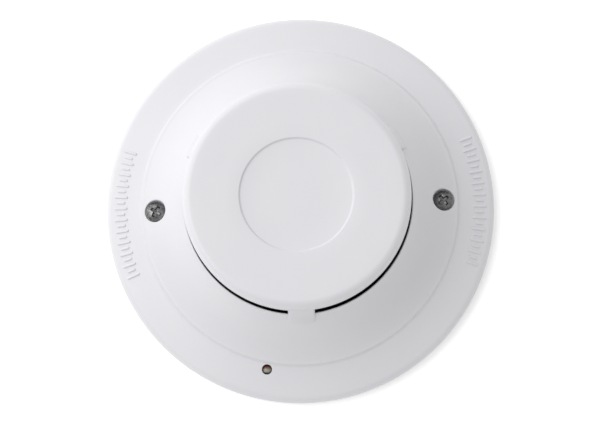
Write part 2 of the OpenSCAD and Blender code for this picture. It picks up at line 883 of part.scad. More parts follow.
mounting_plate();
threaded_collars();
back_housing();
foam_gasket();
terminal_block();
terminal_screws();
wire_clamps();
terminal_tags();
circuit_board();
board_screws();
alarm_relay();
electrolytic_capacitors();
film_capacitors();
surge_varistor();
resistors();
diodes();
transistors();
control_chip();
reed_switch();
status_lamp();
lamp_leads();
chamber_base();
infrared_emitter();
emitter_leads();
photodiode();
photodiode_leads();
shield_can();
receiver_lens();
optics_cover();
labyrinth();
insect_screen();
chamber_lid();
cover();
left_washer();
right_washer();
left_screw();
right_screw();
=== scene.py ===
import json
import math

import bmesh
import bpy
from mathutils import Matrix, Vector

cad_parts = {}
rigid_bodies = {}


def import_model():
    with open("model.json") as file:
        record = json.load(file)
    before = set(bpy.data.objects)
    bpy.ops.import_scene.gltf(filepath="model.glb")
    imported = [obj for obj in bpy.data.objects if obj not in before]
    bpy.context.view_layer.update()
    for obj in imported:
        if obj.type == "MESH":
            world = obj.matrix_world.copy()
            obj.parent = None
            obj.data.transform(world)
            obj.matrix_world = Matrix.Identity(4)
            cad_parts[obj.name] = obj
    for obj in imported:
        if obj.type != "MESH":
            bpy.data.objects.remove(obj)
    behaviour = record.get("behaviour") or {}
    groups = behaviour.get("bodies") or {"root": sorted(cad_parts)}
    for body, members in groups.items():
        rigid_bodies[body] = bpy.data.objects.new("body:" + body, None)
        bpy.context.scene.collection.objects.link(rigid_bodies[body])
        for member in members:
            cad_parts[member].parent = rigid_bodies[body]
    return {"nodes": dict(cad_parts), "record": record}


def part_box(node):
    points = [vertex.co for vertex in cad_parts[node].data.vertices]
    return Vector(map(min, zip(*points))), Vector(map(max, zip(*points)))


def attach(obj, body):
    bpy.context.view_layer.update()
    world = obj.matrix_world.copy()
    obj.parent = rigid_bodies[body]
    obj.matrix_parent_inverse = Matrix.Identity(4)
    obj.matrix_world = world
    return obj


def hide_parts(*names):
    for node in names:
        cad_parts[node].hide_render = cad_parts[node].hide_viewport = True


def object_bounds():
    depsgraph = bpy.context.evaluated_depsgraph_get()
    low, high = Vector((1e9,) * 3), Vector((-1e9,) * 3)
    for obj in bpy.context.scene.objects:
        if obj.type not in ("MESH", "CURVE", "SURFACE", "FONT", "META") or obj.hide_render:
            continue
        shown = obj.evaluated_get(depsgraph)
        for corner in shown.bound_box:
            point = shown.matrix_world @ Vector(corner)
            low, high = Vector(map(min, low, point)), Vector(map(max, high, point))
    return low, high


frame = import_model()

# Shapes are drawn in millimetres, in the part's own frame, and scaled once to metres.
MM = 0.001
TURN = 2 * math.pi
WELD = 0.002 * MM        # vertices closer than this are one
CAD_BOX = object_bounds()


# ---- Mesh helpers

def new_object(name, data):
    obj = bpy.data.objects.new(name, data)
    bpy.context.scene.collection.objects.link(obj)
    return obj


def finish_mesh(name, verts, faces, smooth_angle=32):
    """Object from vertices in millimetres, with outward normals and smooth shading."""
    mesh = bpy.data.meshes.new(name)
    mesh.from_pydata([Vector(v) * MM for v in verts], [], faces)
    bm = bmesh.new()
    bm.from_mesh(mesh)
    bmesh.ops.recalc_face_normals(bm, faces=bm.faces)
    bm.to_mesh(mesh)
    bm.free()
    return shade(new_object(name, mesh), smooth_angle)


def shade(obj, smooth_angle=32):
    mesh = obj.data
    mesh.shade_smooth()
    mesh.set_sharp_from_angle(angle=math.radians(smooth_angle))
    return obj


def rounded(points, step=15, closed=True, pieces=None):
    """Outline with arcs at its corners. A point is (x, y) or (x, y, corner radius), and
    each arc has one piece for every step degrees, or the given number of pieces."""
    out = []
    count = len(points)
    for i, point in enumerate(points):
        p = Vector(point[:2])
        radius = point[2] if len(point) > 2 else 0
        if not radius or (not closed and i in (0, count - 1)):
            out.append(p)
            continue
        to_last = (Vector(points[i - 1][:2]) - p).normalized()
        to_next = (Vector(points[(i + 1) % count][:2]) - p).normalized()
        half = to_last.angle(to_next) / 2
        bisector = (to_last + to_next).normalized()
        centre = p + bisector * radius / math.sin(half)
        start = p + to_last * radius / math.tan(half) - centre
        end = p + to_next * radius / math.tan(half) - centre
        sweep = start.angle_signed(end)
        bends = pieces or max(2, round(abs(math.degrees(sweep)) / step))
        for k in range(bends + 1):
            a = -sweep * k / bends
            out.append(centre + Vector((
                start.x * math.cos(a) - start.y * math.sin(a),
                start.x * math.sin(a) + start.y * math.cos(a))))
    return out


def arc_points(centre, radius, start, end, pieces):
    """Points on an arc, with its angles in degrees."""
    angles = [math.radians(start + (end - start) * k / pieces) for k in range(pieces + 1)]
    return [Vector((centre[0] + radius * math.cos(a), centre[1] + radius * math.sin(a)))
            for a in angles]


def circle(centre, radius, steps):
    return [(centre[0] + radius * math.cos(TURN * i / steps),
             centre[1] + radius * math.sin(TURN * i / steps)) for i in range(steps)]


def lathe(name, outline, steps=64, centre=(0, 0), smooth_angle=32):
    """Solid turned round the vertical line through centre; the outline is (radius, height)."""
    verts, faces, rings = [], [], []
    for r, z in outline:
        if r < 1e-6:
            rings.append([len(verts)] * steps)
            verts.append((centre[0], centre[1], z))
            continue
        rings.append(list(range(len(verts), len(verts) + steps)))
        verts += [(x, y, z) for x, y in circle(centre, r, steps)]
    for k, ring in enumerate(rings):
        above = rings[(k + 1) % len(rings)]
        for i in range(steps):
            j = (i + 1) % steps
            loop = [ring[i], ring[j], above[j], above[i]]
            loop = [v for n, v in enumerate(loop) if v not in loop[:n]]
            if len(loop) > 2:
                faces.append(loop)
    return finish_mesh(name, verts, faces, smooth_angle)


def loft(name, sections, smooth_angle=32):
    """Closed solid through matching closed sections, each a list of 3-D points."""
    count = len(sections[0])
    verts = [v for section in sections for v in section]
    faces = [list(range(count)), list(range(len(verts) - count, len(verts)))]
    for k in range(len(sections) - 1):
        for i in range(count):
            j = (i + 1) % count
            a, b = k * count, (k + 1) * count
            faces.append([a + i, a + j, b + j, b + i])
    return finish_mesh(name, verts, faces, smooth_angle)


def rectangle(length, width, corner, inset=0):
    half_l, half_w = length / 2 - inset, width / 2 - inset
    r = max(corner - inset, 0.02)
    return rounded([(half_l, -half_w, r), (half_l, half_w, r),
                    (-half_l, half_w, r), (-half_l, -half_w, r)], pieces=3)


def block(name, length, width, low, high, corner=0.5, edge=0.25):
    """Box along X and Y with rounded corners and rounded top and bottom edges."""
    bend = [(edge * (1 - math.sin(t)), edge * (1 - math.cos(t)))
            for t in (math.pi / 8 * k for k in range(5))]
    path = [(inset, low + rise) for inset, rise in bend]
    path += [(inset, high - rise) for inset, rise in reversed(bend)]
    return loft(name, [[(p.x, p.y, z) for p in rectangle(length, width, corner, inset)]
                       for inset, z in path])


def wire(name, points, radius, sides=10):
    """Round wire along a list of points, mitred at its bends, with tapered ends."""
    taper = 0.4
    points = [Vector(p) for p in points]
    sections = []
    normal = None
    for i, p in enumerate(points):
        back = (p - points[i - 1]).normalized() if i else None
        ahead = (points[i + 1] - p).normalized() if i < len(points) - 1 else None
        along = (back or ahead) if not (back and ahead) else (back + ahead).normalized()
        if normal is None:
            normal = along.orthogonal().normalized()
        normal = (normal - along * normal.dot(along)).normalized()
        side = along.cross(normal)
        ring = [p + (normal * math.cos(TURN * k / sides) + side * math.sin(TURN * k / sides))
                * radius for k in range(sides)]
        if i == 0:
            sections.append([p - along * radius * taper + (q - p) * (1 - taper) for q in ring])
        sections.append(ring)
        if i == len(points) - 1:
            sections.append([p + along * radius * taper + (q - p) * (1 - taper) for q in ring])
    return loft(name, sections, 50)


def select_only(objects):
    for o in bpy.context.view_layer.objects:
        o.select_set(False)
    for o in objects:
        o.select_set(True)
    bpy.context.view_layer.objects.active = objects[0]


def join(objects, name):
    """Several objects as one, each keeping its own materials."""
    select_only(objects)
    bpy.ops.object.join()
    objects[0].name = name
    objects[0].data.name = name
    return objects[0]


def apply_modifier(obj, modifier):
    select_only([obj])
    bpy.ops.object.modifier_apply(modifier=modifier.name)


def combine(obj, tool, operation="DIFFERENCE"):
    """Boolean of obj with tool, which is used up."""
    modifier = obj.modifiers.new("combine", "BOOLEAN")
    modifier.operation = operation
    modifier.solver = "MANIFOLD"
    modifier.object = tool
    apply_modifier(obj, modifier)
    bpy.data.objects.remove(tool)
    return obj


def place(obj, x=0, y=0, z=0, turn=0):
    """Turns a mesh round the Z axis, in degrees, and moves it, in millimetres."""
    obj.data.transform(Matrix.Translation(Vector((x, y, z)) * MM)
                       @ Matrix.Rotation(math.radians(turn), 4, "Z"))
    return obj


def paint(obj, *materials):
    obj.data.materials.clear()
    for material in materials:
        obj.data.materials.append(material)
    return obj


def refined(node, material, bevel):
    """Copy of a CAD node with its sharp edges rounded, which stands for the node."""
    source = frame["nodes"][node]
    mesh = source.data.copy()
    bm = bmesh.new()
    bm.from_mesh(mesh)
    bmesh.ops.remove_doubles(bm, verts=bm.verts, dist=WELD)
    bmesh.ops.dissolve_limit(bm, angle_limit=math.radians(0.6), verts=bm.verts,
                             edges=bm.edges)
    bmesh.ops.recalc_face_normals(bm, faces=bm.faces)
    bm.to_mesh(mesh)
    bm.free()
    obj = new_object(node + "_refined", mesh)
    edges = obj.modifiers.new("edges", "BEVEL")
    edges.width = bevel * MM
    edges.segments = 2
    edges.limit_method = "ANGLE"
    edges.angle_limit = math.radians(38)
    apply_modifier(obj, edges)
    flat_faces = shade(obj, 40).modifiers.new("flat_faces", "WEIGHTED_NORMAL")
    flat_faces.keep_sharp = True
    apply_modifier(obj, flat_faces)
    paint(obj, material)
    return stand_for(obj, node)


def body_of(node):
    bodies = frame["record"]["behaviour"]["bodies"]
    return next(body for body, nodes in bodies.items() if node in nodes)


def stand_for(obj, *nodes):
    """The piece replaces CAD nodes and moves with their body."""
    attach(obj, body_of(nodes[0]))
    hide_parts(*nodes)
    return obj


def box_of(points):
    """Lowest and highest corner of the box round some points."""
    return Vector(map(min, zip(*points))), Vector(map(max, zip(*points)))


def islands(node):
    """The separate solids of a CAD node: for each, the angle of its middle round the Z
    axis and its box in the frame turned by that angle, in millimetres."""
    bm = bmesh.new()
    bm.from_mesh(frame["nodes"][node].data)
    bmesh.ops.remove_doubles(bm, verts=bm.verts, dist=WELD)
    found, seen = [], set()
    for start in bm.verts:
        if start in seen:
            continue
        stack, group = [start], []
        seen.add(start)
        while stack:
            v = stack.pop()
            group.append(v.co / MM)
            for e in v.link_edges:
                w = e.other_vert(v)
                if w not in seen:
                    seen.add(w)
                    stack.append(w)
        low, high = box_of(group)
        middle = (low + high) / 2
        angle = math.degrees(math.atan2(middle.y, middle.x))
        turned = box_of([Matrix.Rotation(-math.radians(angle), 3, "Z") @ v for v in group])
        found.append({"angle": angle, "low": low, "high": high,
                      "turned_low": turned[0], "turned_high": turned[1]})
    bm.free()
    return sorted(found, key=lambda part: (round(part["angle"], 1), part["low"].x))


def node_box(node):
    low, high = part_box(node)
    return low / MM, high / MM


# ---- Material helpers

class Paint:
    """A Principled material that is built up from procedural layers."""

    def __init__(self, name, roughness=0.5, metallic=0.0, **sockets):
        self.material = bpy.data.materials.new(name)
        self.material.use_nodes = True
        self.nodes = self.material.node_tree.nodes
        self.links = self.material.node_tree.links
        self.shader = self.nodes["Principled BSDF"]
        self.shader.inputs["Roughness"].default_value = roughness
        self.shader.inputs["Metallic"].default_value = metallic
        for socket, value in sockets.items():
            self.shader.inputs[socket.replace("_", " ")].default_value = value
        self.place = self.nodes.new("ShaderNodeTexCoord").outputs["Object"]
        self.normal = None

    def stretched(self, x, y, z):
        """Object coordinates stretched, so that a texture becomes streaks."""
        node = self.nodes.new("ShaderNodeMapping")
        node.inputs["Scale"].default_value = (x, y, z)
        self.links.new(self.place, node.inputs["Vector"])
        return node.outputs["Vector"]

    def noise(self, size, detail=3.0, rough=0.55, place=None):
        node = self.nodes.new("ShaderNodeTexNoise")
        node.inputs["Scale"].default_value = 1 / (size * MM)
        node.inputs["Detail"].default_value = detail
        node.inputs["Roughness"].default_value = rough
        self.links.new(place or self.place, node.inputs["Vector"])
        return node.outputs["Fac"]

    def cells(self, size, feature="F1", output="Distance"):
        node = self.nodes.new("ShaderNodeTexVoronoi")
        node.feature = feature
        node.inputs["Scale"].default_value = 1 / (size * MM)
        self.links.new(self.place, node.inputs["Vector"])
        return node.outputs[output]

    def ramp(self, source, stops):
        """Colours along a value; a stop is (position, (r, g, b))."""
        node = self.nodes.new("ShaderNodeValToRGB")
        elements = node.color_ramp.elements
        while len(elements) < len(stops):
            elements.new(0.5)
        for element, (position, colour) in zip(elements, stops):
            element.position = position
            element.color = (*colour, 1)
        self.links.new(source, node.inputs["Fac"])
        return node.outputs["Color"]

    def span(self, source, low, high, start=0.3, end=0.7):
        """A value stretched from the range start to end onto low to high."""
        node = self.nodes.new("ShaderNodeMapRange")
        for key, value in zip(("From Min", "From Max", "To Min", "To Max"),
                              (start, end, low, high)):
            node.inputs[key].default_value = value
        self.links.new(source, node.inputs["Value"])
        return node.outputs["Result"]

    def mix(self, factor, first, second):
        """Blend of two colours; each value is a socket, a number or (r, g, b)."""
        node = self.nodes.new("ShaderNodeMix")
        node.data_type = "RGBA"
        colours = [socket for socket in node.inputs if socket.type == "RGBA"]
        targets = (node.inputs["Factor"], *colours)
        for target, value in zip(targets, (factor, first, second)):
            if isinstance(value, bpy.types.NodeSocket):
                self.links.new(value, target)
            elif isinstance(value, tuple):
                target.default_value = (*value, 1)
            else:
                target.default_value = value
        return next(o for o in node.outputs if o.type == "RGBA")

    def colour(self, source):
        self.links.new(source, self.shader.inputs["Base Color"])
        return self

    def gloss(self, source, low, high, start=0.3, end=0.7):
        self.links.new(self.span(source, low, high, start, end),
                       self.shader.inputs["Roughness"])
        return self

    def bump(self, source, depth, strength=1.0):
        """Relief of the given depth in millimetres, on top of any earlier relief."""
        node = self.nodes.new("ShaderNodeBump")
        node.inputs["Distance"].default_value = depth * MM
        node.inputs["Strength"].default_value = strength
        self.links.new(source, node.inputs["Height"])
        if self.normal is not None:
            self.links.new(self.normal, node.inputs["Normal"])
        self.normal = node.outputs["Normal"]
        self.links.new(self.normal, self.shader.inputs["Normal"])
        return self


def moulded(name, dark, light, roughness, grain=0.35, depth=0.006, **sockets):
    """Moulded plastic: a slow drift of shade, uneven gloss and spark-eroded grain."""
    p = Paint(name, **sockets)
    p.colour(p.ramp(p.noise(38, 2), [(0.3, dark), (0.7, light)]))
    p.gloss(p.noise(9, 4), roughness - 0.04, roughness + 0.05)
    p.bump(p.noise(grain, 2), depth)
    p.bump(p.noise(22, 1), depth * 2, 0.5)
    return p.material


def coated(name, dark, light, roughness, lump=2.2, depth=0.03, **sockets):
    """Dipped or lacquered coat, with soft lumps."""
    p = Paint(name, Coat_Weight=0.4, Coat_Roughness=0.12, **sockets)
    p.colour(p.ramp(p.noise(lump, 3), [(0.3, dark), (0.72, light)]))
    p.gloss(p.noise(lump * 0.6, 3), roughness, roughness + 0.14)
    p.bump(p.noise(lump, 2), depth)
    return p.material


def metal(name, dark, light, smooth, rough, streak=(1, 1, 14), size=3, depth=0.004,
          stain=None):
    """Metal with drawn streaks, uneven gloss and, where it is given, darker stains."""
    p = Paint(name, metallic=1.0)
    streaks = p.noise(size, 4, 0.6, p.stretched(*streak))
    shades = p.ramp(streaks, [(0.3, dark), (0.7, light)])
    if stain:
        shades = p.mix(p.span(p.noise(1.3, 5, 0.65), 0, 0.85, 0.5, 0.68), shades, stain)
    p.colour(shades)
    p.gloss(p.noise(size * 0.5, 5), smooth, rough)
    p.bump(streaks, depth)
    return p.material


# ---- Materials, one for each finish

def galvanised():
    p = Paint("galvanised_sheet", metallic=1.0)
    spangle = p.cells(7, output="Color")
    grey = p.nodes.new("ShaderNodeRGBToBW")
    p.links.new(spangle, grey.inputs["Color"])
    flake = grey.outputs["Val"]
    p.colour(p.ramp(flake, [(0.2, (0.4, 0.41, 0.43)), (0.8, (0.56, 0.57, 0.58))]))
    p.gloss(flake, 0.3, 0.52, 0.2, 0.8)
    p.bump(p.cells(7, "DISTANCE_TO_EDGE"), 0.012, 0.6)
    p.bump(p.noise(1.1, 4), 0.006)
    return p.material


def foam():
    p = Paint("closed_cell_foam", roughness=0.95, Specular_IOR_Level=0.25)
    pores = p.cells(0.7)
    p.colour(p.ramp(pores, [(0.05, (0.028, 0.028, 0.03)), (0.6, (0.1, 0.1, 0.104))]))
    p.bump(pores, 0.22, 0.8)
    p.bump(p.noise(4, 3), 0.1)
    return p.material


def laminate():
    """Green solder mask over copper tracks, with the glass cloth showing at the rim."""
    p = Paint("board_laminate", Coat_Weight=0.35, Coat_Roughness=0.2)
    tracks = p.span(p.cells(3.4, "DISTANCE_TO_EDGE"), 1, 0, 0.1, 0.14)
    mask = p.mix(tracks, (0.01, 0.105, 0.035), (0.03, 0.21, 0.075))
    facing = p.nodes.new("ShaderNodeSeparateXYZ")
    p.links.new(p.nodes["Texture Coordinate"].outputs["Normal"], facing.inputs["Vector"])
    flat = p.nodes.new("ShaderNodeMath")
    flat.operation = "ABSOLUTE"
    p.links.new(facing.outputs["Z"], flat.inputs[0])
    cloth = p.ramp(p.noise(0.4, 2, place=p.stretched(1, 1, 6)),
                   [(0.35, (0.3, 0.27, 0.12)), (0.65, (0.5, 0.46, 0.24))])
    p.colour(p.mix(flat.outputs["Value"], cloth, mask))
    p.gloss(p.noise(2, 3), 0.28, 0.42)
    p.bump(tracks, 0.03)
    p.bump(p.noise(0.9, 2), 0.01)
    return p.material


def resin(name, colour, roughness, transmission, ior=1.52, **sockets):
    """Clear or tinted cast resin or glass, with faint flow lines inside its gloss."""
    p = Paint(name, Transmission_Weight=transmission, IOR=ior, **sockets)
    dark = tuple(c * 0.8 for c in colour)
    p.colour(p.ramp(p.noise(1.6, 2), [(0.3, dark), (0.7, colour)]))
    p.gloss(p.noise(1.2, 3), roughness, roughness + 0.08)
    p.bump(p.noise(2.4, 1), 0.006)
    return p.material


def speckled(name, dark, light, roughness):
    """Black plastic filled with short glass fibres."""
    p = Paint(name)
    fibres = p.noise(0.5, 4, 0.7, p.stretched(1, 3, 1))
    p.colour(p.ramp(fibres, [(0.45, dark), (0.72, light)]))
    p.gloss(p.noise(3, 4), roughness - 0.06, roughness + 0.08)
    p.bump(fibres, 0.012)
    return p.material


LAMP_LOW, LAMP_HIGH = node_box("status_lamp")
LAMP_AT = ((LAMP_LOW + LAMP_HIGH) / 2)[:2]
LAMP_R = 1.5


def lamp_resin():
    """Milky lamp lens, dark red and darkest towards the cone; on the side away from it a
    painted pale green-grey glint, dark again at the very edge.
    """
    p = Paint("lamp_lens", Transmission_Weight=0.2, IOR=1.5)
    axes = p.nodes.new("ShaderNodeSeparateXYZ")
    p.links.new(p.place, axes.inputs["Vector"])
    across = p.span(axes.outputs["Y"], 0, 1, (LAMP_AT[1] - LAMP_R) * MM,
                    (LAMP_AT[1] + LAMP_R) * MM)
    wander = p.mix(0.16, across, p.noise(0.7, 2))
    # Painted light: the pale green-grey stop is a painted glint on the side away from the
    # cone; towards the cone the red darkens to near black.
    p.colour(p.ramp(wander, [(0.12, (0.1, 0.105, 0.1)), (0.34, (0.42, 0.46, 0.38)),
                             (0.52, (0.36, 0.27, 0.2)), (0.66, (0.24, 0.09, 0.06)),
                             (0.85, (0.05, 0.025, 0.03))]))
    p.gloss(p.noise(1.2, 3), 0.08, 0.2)
    p.bump(p.noise(2.4, 1), 0.006)
    return p.material


COVER = moulded("cover_plastic", (0.704, 0.700, 0.728), (0.716, 0.712, 0.738), 0.4,
                grain=0.3, depth=0.004)
HOUSING = moulded("housing_plastic", (0.66, 0.66, 0.64), (0.7, 0.7, 0.68), 0.45)
NYLON = moulded("washer_nylon", (0.66, 0.63, 0.55), (0.74, 0.71, 0.64), 0.38, grain=0.6)
CHAMBER = moulded("chamber_plastic", (0.009, 0.009, 0.01), (0.014, 0.014, 0.016), 0.62,
                  grain=0.4, depth=0.02)
CASE = moulded("epoxy_case", (0.022, 0.022, 0.025), (0.034, 0.034, 0.038), 0.5, grain=0.2,
               depth=0.012)
RELAY = moulded("relay_case", (0.05, 0.17, 0.36), (0.065, 0.2, 0.42), 0.3, grain=0.8)
TERMINAL = speckled("terminal_plastic", (0.02, 0.02, 0.022), (0.07, 0.07, 0.075), 0.5)
DIODE_CASE = moulded("diode_case", (0.018, 0.018, 0.02), (0.03, 0.03, 0.032), 0.35)
PALE_BAND = moulded("pale_band", (0.6, 0.6, 0.6), (0.7, 0.7, 0.7), 0.4)
FILM = coated("film_case", (0.5, 0.3, 0.025), (0.62, 0.4, 0.05), 0.22)
VARISTOR = coated("varistor_coating", (0.03, 0.13, 0.33), (0.05, 0.19, 0.44), 0.25)
RESISTOR = coated("resistor_coating", (0.5, 0.37, 0.2), (0.62, 0.49, 0.31), 0.28,
                  lump=1.2, depth=0.02)
SLEEVE = coated("capacitor_sleeve", (0.02, 0.03, 0.1), (0.03, 0.045, 0.14), 0.22,
                depth=0.01)
SLEEVE_STRIPE = coated("capacitor_stripe", (0.4, 0.42, 0.46), (0.5, 0.52, 0.56), 0.25,
                       depth=0.01)
BANDS = {colour: coated("band_" + colour, tuple(c * 0.8 for c in tint), tint, 0.3,
                        lump=0.8, depth=0.01)
         for colour, tint in (("brown", (0.16, 0.06, 0.025)), ("black", (0.02, 0.02, 0.02)),
                              ("red", (0.5, 0.03, 0.02)), ("orange", (0.7, 0.2, 0.02)),
                              ("gold", (0.5, 0.34, 0.1)))}
PLATE = galvanised()
COLLAR = metal("collar_steel", (0.5, 0.49, 0.47), (0.66, 0.65, 0.62), 0.28, 0.5)
ZINC = metal("screw_steel", (0.5, 0.5, 0.5), (0.68, 0.68, 0.67), 0.25, 0.45)
AGED = metal("cover_screw_steel", (0.1, 0.1, 0.104), (0.36, 0.355, 0.355), 0.22, 0.52,
             streak=(1, 6, 1), size=1.2, depth=0.03, stain=(0.04, 0.037, 0.036))
BRASS = metal("clamp_brass", (0.56, 0.4, 0.17), (0.74, 0.57, 0.29), 0.26, 0.46)
TIN = metal("tinned_wire", (0.56, 0.56, 0.56), (0.76, 0.76, 0.75), 0.2, 0.4)
CAN = metal("tinned_can", (0.55, 0.55, 0.56), (0.72, 0.72, 0.73), 0.25, 0.42,
            streak=(1, 1, 1), size=5)
ALUMINIUM = metal("capacitor_can", (0.6, 0.6, 0.61), (0.74, 0.74, 0.75), 0.3, 0.42)
SCREEN = metal("screen_wire", (0.015, 0.015, 0.016), (0.03, 0.03, 0.032), 0.45, 0.65,
               size=0.8)
FOAM = foam()
LAMINATE = laminate()
LAMP = lamp_resin()
EMITTER = resin("emitter_resin", (0.07, 0.03, 0.09), 0.1, 0.3)
DARK_RESIN = resin("photodiode_resin", (0.02, 0.02, 0.025), 0.15, 0.1)
CLEAR = resin("lens_clear", (0.9, 0.92, 0.94), 0.04, 0.95, ior=1.49)
REED_GLASS = resin("reed_glass", (0.72, 0.86, 0.8), 0.05, 0.9)


# ---- Cover: flange, step, cone, three legs and cap, moulded in one

COVER_LOW, COVER_HIGH = node_box("cover")
FLANGE_R = COVER_HIGH.x
SKIRT_Z = COVER_LOW.z
TOP_Z = COVER_HIGH.z
ROUND_STEPS = 360
WALL = 2.0
FLANGE_ROUND, FLANGE_SLOPE = 3.0, math.radians(12.4)
STEP_R, STEP_FOOT_Z, STEP_TOP_Z, STEP_LEAN = 56.8, 8.2, 9.2, 1.0
CONE_FOOT_SLOPE = math.radians(28)
THROAT_R, THROAT_Z, LIP_R = 40.3, 26.8, 39.9
CAP_R, CAP_RIM_Z, CAP_ROUND, CAP_WALL = 39.4, 33.4, 3.2, 1.8
RECESS_R, RECESS_DEPTH = 19.8, 0.6
LEG_ANGLES = (-90, 30, 150)
LEG_W, LEG_FOOT_R, LEG_INNER_R = 9.2, 43.2, 38.0

# The cone's profile is an arc from the step's top to the throat
FOOT = Vector((STEP_R - STEP_LEAN / 2, STEP_TOP_Z))
THROAT = Vector((THROAT_R, THROAT_Z))
FOOT_NORMAL = Vector((math.sin(CONE_FOOT_SLOPE), math.cos(CONE_FOOT_SLOPE)))
CONE_BEND = (THROAT - FOOT).length_squared / (2 * (THROAT - FOOT).dot(FOOT_NORMAL))
CONE_CENTRE = FOOT + FOOT_NORMAL * CONE_BEND


def face_z(r):
    """Height of the flange's front face."""
    return STEP_FOOT_Z - (r - STEP_R) * math.tan(FLANGE_SLOPE)


def cone_z(r, depth=0.0):
    """Height of the cone's outer face, or of a surface that deep inside its wall."""
    return CONE_CENTRE.y - math.sqrt((CONE_BEND + depth) ** 2 - (CONE_CENTRE.x - r) ** 2)


def shell_outline():
    """Flange, step and cone from outside to throat, and back along the inner faces."""
    edge = Vector((FLANGE_R - FLANGE_ROUND,
                   face_z(FLANGE_R - FLANGE_ROUND) - FLANGE_ROUND / math.cos(FLANGE_SLOPE)))
    face_angle = 90 - math.degrees(FLANGE_SLOPE)
    spigot_in, spigot_out, spigot_z = 65, 66.2, 2.5
    under = WALL / math.cos(FLANGE_SLOPE)
    inner_foot = STEP_R - 1
    cone_radii = [FOOT.x + (THROAT_R - FOOT.x) * (k / 40) for k in range(3, 40)]
    inner_radii = [LIP_R + (inner_foot - LIP_R) * (k / 30) for k in range(31)]
    points = [(FLANGE_R, SKIRT_Z, 0.3)]
    points += arc_points(edge, FLANGE_ROUND, 0, face_angle, 14)
    step_low_r = STEP_R + STEP_LEAN / 2
    points += [(66.5 - 1.5 * k, face_z(66.5 - 1.5 * k)) for k in range(6)]
    points += [(step_low_r, face_z(step_low_r), 0.9), (FOOT.x + 0.25, FOOT.y + 0.08, 0.7),
               (FOOT.x - 0.6, cone_z(FOOT.x - 0.6), 2)]
    points += [(r, cone_z(r)) for r in cone_radii]
    points += [(THROAT_R, THROAT_Z, 0.2), (LIP_R, THROAT_Z, 0.2)]
    points += [(r, cone_z(r, WALL)) for r in inner_radii]
    points += [(inner_foot, face_z(inner_foot) - under, 0.3),
               (spigot_in, face_z(spigot_in) - under, 0.4), (spigot_in, spigot_z, 0.25),
               (spigot_out, spigot_z, 0.25), (spigot_out, face_z(spigot_out) - under, 0.2)]
    points += arc_points(edge, FLANGE_ROUND - WALL, face_angle, 0, 6)
    points += [(FLANGE_R - WALL, SKIRT_Z, 0.3)]
    return rounded(points)


def cap_outline():
    """Cap with its shallow recess, hollow underneath."""
    corner = (CAP_R - CAP_ROUND, TOP_Z - CAP_ROUND)
    inner_r, ceiling = CAP_R - CAP_WALL, TOP_Z - CAP_WALL
    floor = TOP_Z - RECESS_DEPTH
    points = [(0, floor), (RECESS_R * 0.5, floor), (RECESS_R - 0.5, floor, 0.45),
              (RECESS_R, TOP_Z, 0.3), (RECESS_R + 5, TOP_Z), (corner[0] - 4, TOP_Z)]
    points += arc_points(corner, CAP_ROUND, 90, 0, 14)
    points += [(CAP_R, CAP_RIM_Z, 0.35), (inner_r, CAP_RIM_Z, 0.3),
               (inner_r, ceiling, 1.2), (inner_r - 12, ceiling), (0, ceiling)]
    return rounded(points)


def cap_leg(angle):
    """A leg whose outer face runs straight from inside the cone's wall to the cap."""
    lean = (LEG_FOOT_R - CAP_R) / (CAP_RIM_Z - cone_z(LEG_FOOT_R))
    low, high = cone_z(LEG_FOOT_R) - 1.5, CAP_RIM_Z + 1.3
    half = LEG_W / 2
    radii = [0.8, 0, 0, 0, 0.8, 0.1, 0, 0, 0, 0.1]
    sections = []
    for k in range(13):
        z = low + (high - low) * k / 12
        outer = CAP_R - 0.1 + lean * (CAP_RIM_Z - z)
        inner = LEG_INNER_R if z > THROAT_Z + 0.6 else THROAT_R
        corners = [(math.sqrt(outer ** 2 - y ** 2), y) for y in (-half, -2, 0, 2, half)]
        corners += [(math.sqrt(inner ** 2 - y ** 2), y) for y in (half, 2, 0, -2, -half)]
        outline = rounded([(*c, r) if r else c for c, r in zip(corners, radii)], pieces=4)
        sections.append([(p.x, p.y, z) for p in outline])
    return place(loft("leg", sections), turn=angle)


def screw_boss(x):
    """Solid boss under the cone, whose top ends in the middle of the wall."""
    low = BOSS_LOW_Z
    ring = circle((x, 0), 5.2, 96)
    chamfer = [(x + (p - x) * 0.95, q * 0.95, low) for p, q in ring]
    return loft("boss", [chamfer, [(p, q, low + 0.25) for p, q in ring],
                         [(p, q, cone_z(math.hypot(p, q), WALL / 2)) for p, q in ring]])


def flared_hole(centre, radius, flare, surface, lower, steps=96):
    """Cutter for a hole with a rounded mouth that follows a curved surface; lower is
    the rest of its outline, (radius, height), down to its end."""
    sections = []
    bends = [math.radians(a) for a in (12, 26, 42, 58, 74, 90)]
    mouth = [(radius + flare + 1.2, 1.6)]
    mouth += [(radius + flare * (1 - math.sin(t)), -flare * (1 - math.cos(t))) for t in bends]
    for ring_r, drop in mouth:
        sections.append([(x, y, surface(math.hypot(x, y)) + drop)
                         for x, y in circle(centre, ring_r, steps)])
    for ring_r, z in lower:
        sections.append([(x, y, z) for x, y in circle(centre, ring_r, steps)])
    return loft("hole", sections)


def raised_bars():
    """Rows of plain raised bars on both sides of the flange, long and short in turn."""
    count, pitch, width, height, mid_r = 23, 1.85, 0.9, 0.4, 64.6
    bars = []
    for side in (0, 180):
        for i in range(count):
            length = 5 if i % 2 == 0 else 3.2
            bar = block("bar", length, width, -height, height, corner=0.4, edge=0.28)
            bar.data.transform(
                Matrix.Rotation(math.radians(side + (i - (count - 1) / 2) * pitch), 4, "Z")
                @ Matrix.Translation(Vector((mid_r, 0, face_z(mid_r))) * MM)
                @ Matrix.Rotation(FLANGE_SLOPE, 4, "Y"))
            bars.append(bar)
    return join(bars, "bars")


SCREW_R, SEAT_Z = 51.5, 8.6
WELL_R, WELL_FLARE, BOSS_LOW_Z = 3.95, 0.45, 5.0
LAMP_HOLE_R, SHROUD_R, SHROUD_LOW_Z = 1.8, 3.0, 5.2


